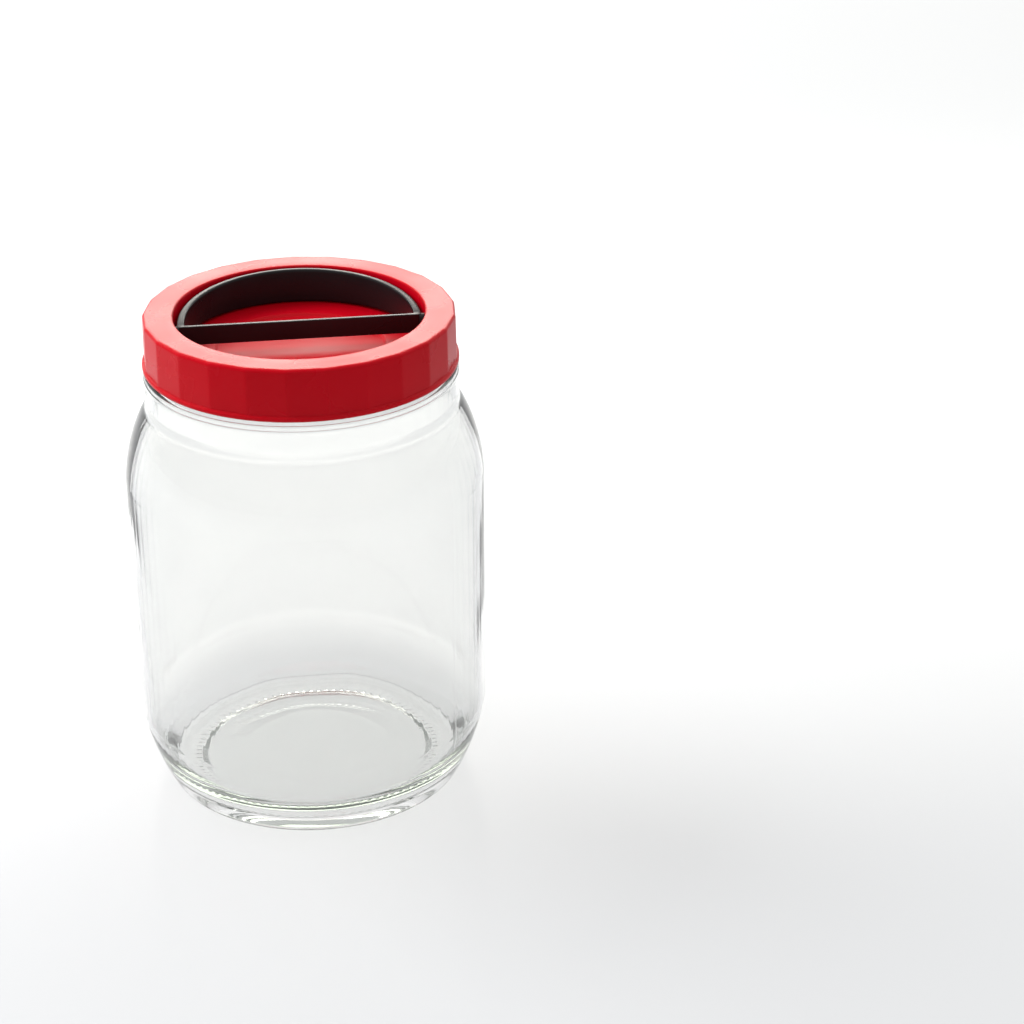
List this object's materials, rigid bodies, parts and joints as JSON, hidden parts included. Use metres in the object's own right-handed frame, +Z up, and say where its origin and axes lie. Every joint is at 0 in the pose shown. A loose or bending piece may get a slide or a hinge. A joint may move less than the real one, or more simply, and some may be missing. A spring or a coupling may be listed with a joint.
{
  "type": "jar with screw lid and folding handle",
  "caption": "Round clear glass storage jar with a faceted red screw lid; a black D-shaped carry handle folds down into the lid's round recess.",
  "frame": {"origin": "centre of the jar's base, on the surface it stands on", "axes": "+Z up along the jar's axis; X along the handle's straight bar and pivots; the grip lies folded towards +Y"},
  "size_m": [0.1404, 0.1404, 0.1977],
  "materials": {
    "clear_glass": "clear, polished",
    "red_plastic": "glossy moulded",
    "white_foam": "matte foam",
    "black_plastic": "satin moulded"
  },
  "bodies": {
    "jar": {"glass_jar": "clear_glass"},
    "seal": {"seal_ring": "white_foam"},
    "lid": {"screw_lid": "red_plastic"},
    "handle": {"carry_handle": "black_plastic"}
  },
  "joints": [
    {"name": "lid_rise", "type": "slide", "parent": "jar", "child": "seal", "axis": [0, 0, 1], "range_m": [0, 0.0185]},
    {"name": "lid_turn", "type": "hinge", "parent": "seal", "child": "lid", "pos_m": [0, 0, 0.1957], "axis": [0, 0, 1], "range_deg": [0, 1296]},
    {"name": "handle_swing", "type": "hinge", "parent": "lid", "child": "handle", "pos_m": [0, 0, 0.1907], "axis": [1, 0, 0], "range_deg": [0, 180]}
  ],
  "couplings": [
    {"joint": "lid_rise", "follows": "lid_turn", "m_per_rad": 0.00080851}
  ]
}
